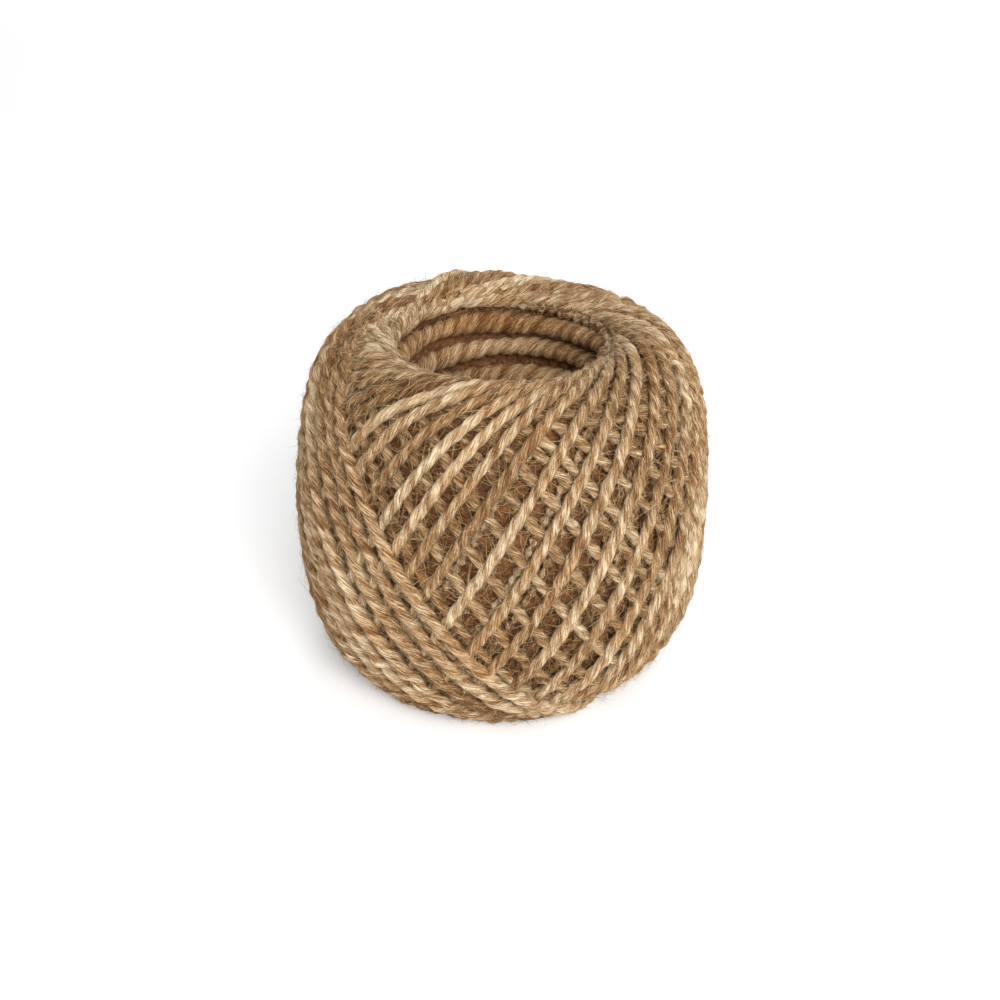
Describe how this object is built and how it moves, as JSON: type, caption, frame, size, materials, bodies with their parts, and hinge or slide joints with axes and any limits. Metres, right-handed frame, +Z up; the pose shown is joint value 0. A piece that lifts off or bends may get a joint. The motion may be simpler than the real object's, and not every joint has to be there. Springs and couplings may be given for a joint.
{
  "type": "ball of twine",
  "caption": "Short drum-shaped ball of natural jute twine, cross-wound, with a round hole through its middle.",
  "frame": {"origin": "middle of the underside, on the surface that the ball stands on, on the axis of its hole", "axes": "+Z up along the axis of the hole; the side that shows the last turn laid faces -Y"},
  "size_m": [0.0692, 0.0684, 0.061],
  "materials": {
    "jute_twine": "natural undyed jute, plied, hairy, dull with a faint silky lustre"
  },
  "bodies": {
    "root": {"wound_ball": "jute_twine"}
  },
  "joints": []
}
